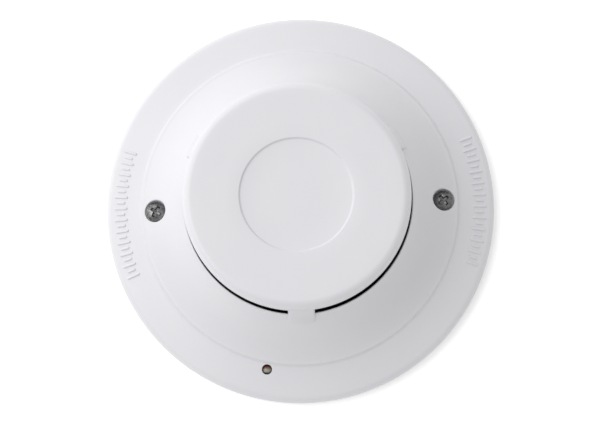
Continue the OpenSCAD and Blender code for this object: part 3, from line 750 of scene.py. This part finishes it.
def cover():
    """Shell with its bars, cap and legs, the screw wells and the lamp hole."""
    shell = lathe("cover_shell", shell_outline(), ROUND_STEPS)
    combine(shell, raised_bars(), "UNION")
    cap = lathe("cap", cap_outline(), ROUND_STEPS)
    for angle in LEG_ANGLES:
        combine(cap, cap_leg(angle), "UNION")
    combine(shell, cap, "UNION")
    in_wall = SHROUD_LOW_Z + 1.6
    shroud = lathe("shroud", [
        (0, SHROUD_LOW_Z), (SHROUD_R - 0.1, SHROUD_LOW_Z), (SHROUD_R, SHROUD_LOW_Z + 0.1),
        (SHROUD_R, in_wall), (0, in_wall)], 64, LAMP_AT)
    combine(shell, shroud, "UNION")
    for side in (-1, 1):
        combine(shell, screw_boss(side * SCREW_R), "UNION")
        combine(shell, flared_hole(
            (side * SCREW_R, 0), WELL_R, WELL_FLARE, cone_z,
            [(WELL_R, SEAT_Z + 0.25), (WELL_R - 0.08, SEAT_Z + 0.08),
             (WELL_R - 0.25, SEAT_Z), (1.6, SEAT_Z), (1.6, 7.4), (2.3, 7.4),
             (2.3, BOSS_LOW_Z - 1.5)]))
    combine(shell, flared_hole(LAMP_AT, LAMP_HOLE_R, 0.15, face_z,
                               [(LAMP_HOLE_R, SHROUD_LOW_Z - 1.2)], 64))
    paint(shade(shell, 30), COVER)
    return stand_for(shell, "cover")


# ---- Fasteners

THREAD_PITCH = 0.6
SCREW_ROOT_R, SCREW_CREST_R = 1.28, 1.75
TAP_ROOT_R, TAP_CREST_R = 1.78, 2.0


def thread(name, low, high, minor, major, steps=48, lead_in=0.6):
    """Solid screw thread on the Z axis, with flat crests, fading out at its lower end."""
    sections = []
    rows = round((high - low) / THREAD_PITCH * 10)
    for k in range(rows + 1):
        z = low + (high - low) * k / rows
        fade = min(1, (z - low) / lead_in)
        ring = []
        for i in range(steps):
            from_crest = abs((z / THREAD_PITCH - i / steps) % 1 - 0.5)
            tooth = max(0, min(1, 1.6 - from_crest * 4.4))
            r = minor + (major - minor) * tooth * fade
            ring.append((r * math.cos(TURN * i / steps), r * math.sin(TURN * i / steps), z))
        sections.append(ring)
    return loft(name, sections, 60)


def cross_recess(top, depth, span, width, turn):
    """Cutter for a tapered cross recess."""
    sections = []
    for share, taper in ((-0.4, 1.12), (0, 1.0), (0.75, 0.66), (1.0, 0.3)):
        h, w = span / 2 * taper, width / 2 * (0.6 + 0.4 * taper)
        quarter = [(h, -w, 0.14), (h, w, 0.14), (w * 1.25, w * 1.25, 0.1)]
        outline = []
        for k in range(4):
            c, s = round(math.cos(TURN * k / 4)), round(math.sin(TURN * k / 4))
            outline += [(c * x - s * y, s * x + c * y, r) for x, y, r in quarter]
        points = rounded(outline, pieces=3)
        sections.append([(p.x, p.y, top - depth * share) for p in points])
    return place(loft("recess", sections), turn=turn)


def cover_screw(node, turn):
    """Domed head with a cross recess, a plain neck and a threaded shaft."""
    low, high = node_box(node)
    x = (low.x + high.x) / 2
    head_r, neck_r, neck_low = (high.x - low.x) / 2, 1.25, 4.5
    crown, seat = 1.2, 9.0
    edge_z = high.z - crown
    dome = (head_r ** 2 + crown ** 2) / (2 * crown)
    outline = [(r, high.z - dome + math.sqrt(dome ** 2 - r ** 2))
               for r in (0, 0.7, 1.4, 2.1, 2.7, 3.1)]
    outline += [(head_r, edge_z, 0.35), (head_r, seat, 0.18), (neck_r, seat, 0.12),
                (neck_r, neck_low), (0, neck_low)]
    head = lathe("head", rounded(outline), 72)
    combine(head, cross_recess(high.z, depth=1.7, span=4.8, width=1.1, turn=turn))
    shaft = thread("shaft", low.z + 0.35, neck_low + 0.1, SCREW_ROOT_R, SCREW_CREST_R)
    tip = lathe("tip", rounded([(0, low.z), (0.95, low.z, 0.1), (1.25, low.z + 0.35),
                                (1.25, low.z + 0.6), (0, low.z + 0.6)]), 48)
    screw = join([shade(head, 28), shaft, tip], node + "_detail")
    return stand_for(paint(place(screw, x=x), AGED), node)


def washer(node):
    low, high = node_box(node)
    outer, inner = (high.x - low.x) / 2, 1.3
    ring = lathe(node + "_ring", rounded([
        (outer, low.z, 0.12), (outer, high.z, 0.12), (inner, high.z, 0.1),
        (inner, low.z, 0.1)]), 64, ((low.x + high.x) / 2, 0))
    return stand_for(paint(ring, NYLON), node)


def collars():
    """Swaged collars with a tapped bore."""
    neck_r, shoulder_z = 2.6, 1.2
    made = []
    for part in islands("threaded_collars"):
        low, high = part["low"], part["high"]
        x, radius = (low.x + high.x) / 2, (high.x - low.x) / 2
        body = lathe("collar", rounded([
            (0, low.z), (neck_r, low.z, 0.25), (neck_r, shoulder_z), (radius, shoulder_z, 0.1),
            (radius, high.z, 0.35), (2.2, high.z), (0, high.z)]), 72)
        tap = thread("tap", low.z - 1, high.z + 1, TAP_ROOT_R, TAP_CREST_R,
                     lead_in=0.01)
        combine(body, tap)
        made.append(place(body, x=x))
    return stand_for(paint(shade(join(made, "collars_tapped"), 40), COLLAR),
                     "threaded_collars")


# ---- Lamp, gasket and insect screen

def status_lamp():
    """Domed lamp, with the cup and post of its lead frame inside."""
    low_z, high_z = LAMP_LOW.z, LAMP_HIGH.z
    collar_r, collar_z = 1.9, low_z + 0.6
    outline = [(0, low_z), (collar_r, low_z, 0.1), (collar_r, collar_z, 0.15),
               (LAMP_R, collar_z, 0.08)]
    outline += arc_points((0, high_z - LAMP_R), LAMP_R, 0, 82, 9)
    outline += [(0, high_z)]
    lens = lathe("status_lamp_lens", rounded(outline), 48, LAMP_AT)
    paint(lens, LAMP)
    stand_for(lens, "status_lamp")
    x, y = LAMP_AT
    cup = lathe("lamp_cup", rounded([
        (0, low_z + 0.5), (0.55, low_z + 0.5, 0.1), (0.75, low_z + 2.3, 0.05),
        (0.3, low_z + 1.9, 0.05), (0, low_z + 1.9)]), 24, (x - 0.35, y))
    post = wire("lamp_post", [(x + 0.8, y, low_z + 0.5), (x + 0.8, y, low_z + 2.2),
                              (x + 0.1, y, low_z + 2.5)], 0.12)
    frame_parts = paint(join([cup, post], "status_lamp_leadframe"), TIN)
    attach(frame_parts, "head")


def gasket():
    """Closed-cell foam ring, its faces uneven like a cut foam sheet."""
    low, high = node_box("foam_gasket")
    outer, mid_r, inner = high.x, 61, 58.4
    flats = [(outer, low.z, 0.3), (outer, high.z, 0.2), (mid_r, high.z),
             (inner, high.z, 0.2), (inner, low.z, 0.3), (mid_r, low.z)]
    ring = lathe("foam_gasket_ring", rounded(flats), ROUND_STEPS)
    for v in ring.data.vertices:
        angle = math.atan2(v.co.y, v.co.x)
        ripple = math.sin(angle * 41) * 0.5 + math.sin(angle * 97 + v.co.z / MM) * 0.5
        squeeze = 1 - 0.0006 * (1 + ripple)
        v.co.x *= squeeze
        v.co.y *= squeeze
    paint(ring, FOAM)
    stand_for(ring, "foam_gasket")


def tube_parts(points, radius, sides, looped):
    """Vertices and faces of a thin tube along points, open or looped."""
    verts, faces = [], []
    count = len(points)
    for i, p in enumerate(points):
        before = points[i - 1] if (looped or i) else p
        after = points[(i + 1) % count] if (looped or i < count - 1) else p
        along = (after - before).normalized()
        out = Vector((p.x, p.y, 0)).normalized()
        side = along.cross(out).normalized()
        out = side.cross(along)
        for k in range(sides):
            a = TURN * (k + 0.5) / sides
            verts.append(p + (out * math.cos(a) + side * math.sin(a)) * radius)
    for i in range(count if looped else count - 1):
        for k in range(sides):
            a, b = i * sides, (i + 1) % count * sides
            n = (k + 1) % sides
            faces.append([a + k, a + n, b + n, b + k])
    if not looped:
        faces += [list(range(sides)), list(range(len(verts) - sides, len(verts)))]
    return verts, faces


def insect_screen():
    """Woven wire screen between two hoops."""
    low, high = node_box("insect_screen")
    outer, hoop_h, wires, rows, wire_r, weave = high.x, 1.0, 200, 8, 0.085, 0.09
    mid_r = outer - 0.25
    pitch = (high.z - low.z - 2 * hoop_h) / rows
    verts, faces = [], []

    def add(points, looped):
        v, f = tube_parts(points, wire_r, 4, looped)
        faces.extend([[n + len(verts) for n in face] for face in f])
        verts.extend(v)

    for i in range(wires):
        a = TURN * i / wires
        line = []
        for k in range(rows + 2):
            r = mid_r + weave * (-1) ** (i + k)
            z = low.z + hoop_h + pitch * (k - 0.5)
            z = min(max(z, low.z + 0.3), high.z - 0.3)
            line.append(Vector((r * math.cos(a), r * math.sin(a), z)))
        add(line, False)
    for k in range(rows):
        z = low.z + hoop_h + pitch * (k + 0.5)
        loop = []
        for i in range(wires):
            a = TURN * i / wires
            r = mid_r - weave * (-1) ** (i + k + 1)
            loop.append(Vector((r * math.cos(a), r * math.sin(a), z)))
        add(loop, True)
    net = finish_mesh("screen_net", verts, faces, 60)
    hoops = [lathe("hoop", rounded([
        (outer, z, 0.12), (outer, z + hoop_h, 0.12), (outer - 0.5, z + hoop_h, 0.12),
        (outer - 0.5, z, 0.12)]), ROUND_STEPS) for z in (low.z, high.z - hoop_h)]
    stand_for(paint(join([net, *hoops], "insect_screen_woven"), SCREEN), "insect_screen")


# ---- Parts on the circuit board

def repaint(obj, materials, choose):
    """Several materials on one piece, chosen by each face's middle in millimetres."""
    paint(obj, *materials)
    for face in obj.data.polygons:
        face.material_index = choose(face.center / MM)
    return obj


def axial(part, body_l, ends, materials, choose):
    """Body along Y between two bent leads, in place of one CAD solid. It is thicker
    over the length ends at both ends; choose picks each face's material."""
    low, high = part["turned_low"], part["turned_high"]
    mid_r = (low.x + high.x) / 2
    body_r = (high.x - low.x) / 2
    axis_z = high.z - body_r
    half, lead_r = body_l / 2, 0.3
    reach = high.y - lead_r
    outline = [(0, -half), (body_r * 0.7, -half, 0.25), (body_r, -half + 0.5, 0.3),
               (body_r, -half + ends, 0.3), (body_r - 0.12, -half + ends + 0.3, 0.2),
               (body_r - 0.12, half - ends - 0.3, 0.2), (body_r, half - ends, 0.3),
               (body_r, half - 0.5, 0.3), (body_r * 0.7, half, 0.25), (0, half)]
    finer = []
    for a, b in zip(outline, outline[1:]):
        finer.append(a)
        if abs(b[1] - a[1]) > 0.9:
            cuts = math.ceil(abs(b[1] - a[1]) / 0.25)
            finer += [(a[0] + (b[0] - a[0]) * k / cuts, a[1] + (b[1] - a[1]) * k / cuts)
                      for k in range(1, cuts)]
    finer.append(outline[-1])
    body = lathe("body", rounded([p if len(p) == 2 else (p[0], p[1], 0.1) for p in finer],
                                 30), 24, smooth_angle=40)
    repaint(body, materials, choose)
    bend = rounded([(-reach, low.z), (-reach, axis_z, 0.5), (reach, axis_z, 0.5),
                    (reach, low.z)], 22.5, closed=False)
    lead = paint(wire("lead", [(0, p.x, p.y) for p in bend], lead_r), TIN)
    body.data.transform(Matrix.Translation((0, 0, axis_z * MM))
                        @ Matrix.Rotation(-math.pi / 2, 4, "X"))
    return place(place(join([body, lead], "axial"), x=mid_r), turn=part["angle"])


def resistors():
    codes = (("brown", "black", "orange"), ("red", "red", "brown"), ("orange", "brown", "red"))
    made = []
    for i, part in enumerate(islands("resistors")):
        code = [BANDS[c] for c in codes[i % len(codes)]] + [BANDS["gold"]]
        starts = (-1.5, -0.8, -0.1, 1.0)

        def choose(p, starts=starts):
            return next((n + 1 for n, s in enumerate(starts) if s <= p.z < s + 0.4), 0)
        made.append(axial(part, 4.6, 1.2, [RESISTOR, *code], choose))
    stand_for(join(made, "resistors_banded"), "resistors")


def diodes():
    made = [axial(part, 4.4, 1.0, [DIODE_CASE, PALE_BAND],
                  lambda p: 1 if 1.0 <= p.z < 1.6 else 0) for part in islands("diodes")]
    stand_for(join(made, "diodes_banded"), "diodes")


def reed_switch():
    part = islands("reed_switch")[0]
    glass = axial(part, 10, 1.2, [REED_GLASS], lambda p: 0)
    low, high = part["turned_low"], part["turned_high"]
    mid_r, z = (low.x + high.x) / 2, high.z - (high.x - low.x) / 2
    reeds = []
    for side in (-1, 1):
        reed = block("reed", 5.2, 0.9, -0.12, 0.12, corner=0.1, edge=0.05)
        reed.data.transform(Matrix.Rotation(math.pi / 2, 4, "Z"))
        reeds.append(place(reed, x=mid_r, y=side * 2.3, z=z + side * 0.2))
    reeds = place(paint(join(reeds, "reed_switch_blades"), TIN), turn=part["angle"])
    glass.name = "reed_switch_glass"
    stand_for(glass, "reed_switch")
    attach(reeds, "head")


def electrolytic_capacitors():
    made = []
    for part in islands("electrolytic_capacitors"):
        low, high = part["low"], part["high"]
        r = (high.x - low.x) / 2
        outline = [(0, low.z), (r - 0.2, low.z, 0.2), (r, low.z + 0.4, 0.2),
                   (r, low.z + 1.1, 0.2), (r - 0.35, low.z + 1.5, 0.25),
                   (r, low.z + 1.9, 0.2), (r, low.z + 4), (r, high.z, 0.4),
                   (r - 0.75, high.z, 0.08), (r - 0.8, high.z - 0.2, 0.05),
                   (0, high.z - 0.2)]
        can = lathe("can", rounded(outline), 64)
        for turn in (0, 90):
            groove = block("groove", r * 1.2, 0.25, high.z - 0.32, high.z + 0.2, 0.1, 0.03)
            combine(can, place(groove, turn=turn))

        def choose(p, r=r, top=high.z):
            if math.hypot(p.x, p.y) < r - 0.6 and p.z > top - 1:
                return 2
            return 1 if p.y > r * 0.9 else 0
        repaint(shade(can, 35), [SLEEVE, SLEEVE_STRIPE, ALUMINIUM], choose)
        made.append(place(can, x=(low.x + high.x) / 2, y=(low.y + high.y) / 2))
    stand_for(join(made, "capacitors_sleeved"), "electrolytic_capacitors")


def alarm_relay():
    low, high = node_box("alarm_relay")
    size = high - low
    mid = (low + high) / 2
    base = block("base", size.x - 0.3, size.y - 0.3, low.z, low.z + 1.4, 0.3, 0.1)
    case = block("case", size.x, size.y, low.z + 1.1, high.z, 0.6, 0.35)
    pip = block("pip", 1.6, 1.6, high.z - 0.5, high.z, 0.75, 0.2)
    ring = lathe("ring", rounded([(1.5, high.z - 0.3), (1.5, high.z + 0.3),
                                  (1.1, high.z + 0.3), (1.1, high.z - 0.3)]), 32)
    combine(case, place(ring, x=size.x / 2 - 2.5, y=size.y / 2 - 2.5))
    pip = place(pip, x=size.x / 2 - 2.5, y=size.y / 2 - 2.5)
    relay = join([shade(case, 32), base, pip], "alarm_relay_case")
    stand_for(paint(place(relay, x=mid.x, y=mid.y), RELAY), "alarm_relay")


def film_capacitors():
    made = []
    for part in islands("film_capacitors"):
        low, high = part["low"], part["high"]
        size, mid = high - low, (low + high) / 2
        body = block("body", size.x, size.y, low.z + 0.4, high.z, 1.1, 0.8)
        along_x = size.x > size.y
        leads = []
        for side in (-1, 1):
            x, y = (side * size.x / 2 * 0.7, 0) if along_x else (0, side * size.y / 2 * 0.7)
            leads.append(wire("lead", [(x, y, low.z), (x, y, low.z + 1.4)], 0.3))
        body = join([paint(body, FILM), *[paint(lead, TIN) for lead in leads]], "film")
        made.append(place(body, x=mid.x, y=mid.y))
    stand_for(join(made, "film_capacitors_dipped"), "film_capacitors")


def surge_varistor():
    low, high = node_box("surge_varistor")
    size, mid = high - low, (low + high) / 2
    r, thick = size.x / 2, size.y
    disc = lathe("disc", rounded([(0, -thick / 2), (r * 0.75, -thick / 2 + 0.1, 2),
                                  (r, -thick / 4, 0.7), (r, thick / 4, 0.7),
                                  (r * 0.75, thick / 2 - 0.1, 2), (0, thick / 2)]), 72)
    disc.data.transform(Matrix.Translation((0, 0, (high.z - r) * MM))
                        @ Matrix.Rotation(math.pi / 2, 4, "X"))
    leads = [paint(wire("lead", [(s * 2.5, 0, low.z), (s * 2.5, 0, low.z + 2.6)], 0.32),
                   TIN) for s in (-1, 1)]
    disc = join([paint(disc, VARISTOR), *leads], "surge_varistor_disc")
    stand_for(place(disc, x=mid.x, y=mid.y), "surge_varistor")


def control_chip():
    chip = refined("control_chip", CASE, 0.1)
    low, high = node_box("control_chip")
    middle, body_half = (low.y + high.y) / 2, 3.22
    repaint(chip, [CASE, TIN], lambda p: 1 if abs(p.y - middle) > body_half else 0)


def transistors():
    body = refined("transistors", CASE, 0.1)
    low, high = node_box("transistors")
    repaint(body, [CASE, TIN], lambda p: 1 if p.z < low.z + 1.55 else 0)


def solder_joints():
    """A small fillet of solder round each lead that stands on the open rim."""
    board_top = node_box("circuit_board")[1].z
    joints = []
    for node in ("resistors", "diodes", "reed_switch"):
        for part in islands(node):
            low, high = part["turned_low"], part["turned_high"]
            for end in (low.y + 0.3, high.y - 0.3):
                joint = lathe("joint", [(0, board_top), (1.0, board_top),
                                        (0.62, board_top + 0.16), (0.42, board_top + 0.4),
                                        (0.33, board_top + 0.75), (0, board_top + 0.75)],
                              20, smooth_angle=70)
                place(joint, x=(low.x + high.x) / 2, y=end)
                joints.append(place(joint, turn=part["angle"]))
    joints = paint(join(joints, "solder_joints"), TIN)
    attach(joints, "head")


# ---- The object

cover()
for screw_node, recess_turn in (("left_screw", 56), ("right_screw", 38)):
    cover_screw(screw_node, recess_turn)
for washer_node in ("left_washer", "right_washer"):
    washer(washer_node)
collars()
status_lamp()
gasket()
insect_screen()
resistors()
diodes()
reed_switch()
electrolytic_capacitors()
alarm_relay()
film_capacitors()
surge_varistor()
control_chip()
transistors()
solder_joints()

# CAD nodes whose shape is right, with their sharp edges rounded
for refined_node, finish, edge in (
        ("mounting_plate", PLATE, 0.15), ("back_housing", HOUSING, 0.2),
        ("terminal_block", TERMINAL, 0.15), ("terminal_screws", ZINC, 0.12),
        ("wire_clamps", BRASS, 0.12), ("terminal_tags", BRASS, 0.1),
        ("board_screws", ZINC, 0.1), ("chamber_base", CHAMBER, 0.2),
        ("photodiode", DARK_RESIN, 0.25), ("shield_can", CAN, 0.08),
        ("optics_cover", CHAMBER, 0.12), ("labyrinth", CHAMBER, 0.12),
        ("chamber_lid", CHAMBER, 0.2)):
    refined(refined_node, finish, edge)

# CAD nodes that need no more than their finish
for plain_node, finish in (
        ("circuit_board", LAMINATE), ("lamp_leads", TIN), ("infrared_emitter", EMITTER),
        ("emitter_leads", TIN), ("photodiode_leads", TIN), ("receiver_lens", CLEAR)):
    paint(shade(frame["nodes"][plain_node], 40), finish)


# ---- Floor, light and camera

def floor():
    half, gap = 6, 0.2 * MM
    mesh = bpy.data.meshes.new("floor")
    z = CAD_BOX[0].z - gap
    mesh.from_pydata([(-half, -half, z), (half, -half, z), (half, half, z),
                      (-half, half, z)], [], [(0, 1, 2, 3)])
    obj = new_object("floor", mesh)
    p = Paint("pale_floor", roughness=0.9, Emission_Strength=0.27)
    p.shader.inputs["Emission Color"].default_value = (1, 1, 1, 1)
    p.colour(p.ramp(p.noise(400, 2), [(0.3, (0.9, 0.9, 0.9)), (0.7, (0.92, 0.92, 0.92))]))
    paint(obj, p.material)


def soft_light(name, toward, distance, size, watts):
    """Square area light in the direction toward, aimed at the object."""
    light = bpy.data.lights.new(name, "AREA")
    light.size = size
    light.energy = watts
    obj = new_object(name, light)
    obj.location = Vector(toward).normalized() * distance
    obj.rotation_euler = Vector(toward).to_track_quat("Z", "Y").to_euler()


def camera():
    """Almost straight in front, tipped towards the lower edge and rolled a little."""
    tilt, toward, roll = (math.radians(a) for a in (7.8, -77.7, -2.05))
    distance, aim_x, aim_y = 0.65, -0.0001, -0.0015
    sensor, focal_length = 36, 107.3
    back = Vector((math.sin(tilt) * math.cos(toward), math.sin(tilt) * math.sin(toward),
                   math.cos(tilt)))
    across = Vector((0, 1, 0)).cross(back).normalized()
    up = back.cross(across)
    right = across * math.cos(roll) + up * math.sin(roll)
    up = up * math.cos(roll) - across * math.sin(roll)
    data = bpy.data.cameras.new("camera")
    data.sensor_width = sensor
    data.lens = focal_length
    data.clip_start = 0.01
    obj = new_object("camera", data)
    obj.matrix_world = (Matrix.Translation(back * distance + right * aim_x + up * aim_y)
                        @ Matrix((right, up, back)).transposed().to_4x4())
    bpy.context.scene.camera = obj


def daylight():
    world = bpy.data.worlds.new("studio")
    world.use_nodes = True
    background = world.node_tree.nodes["Background"]
    background.inputs["Color"].default_value = (1, 1, 1, 1)
    background.inputs["Strength"].default_value = 0.59
    bpy.context.scene.world = world


floor()
soft_light("key", toward=(-0.66, 0.56, 0.5), distance=2.8, size=4.8, watts=73.6)
soft_light("softbox", toward=(-0.5, 0, 0.87), distance=1.4, size=0.8, watts=4.4)
daylight()
camera()
bpy.context.scene.view_settings.view_transform = "Standard"
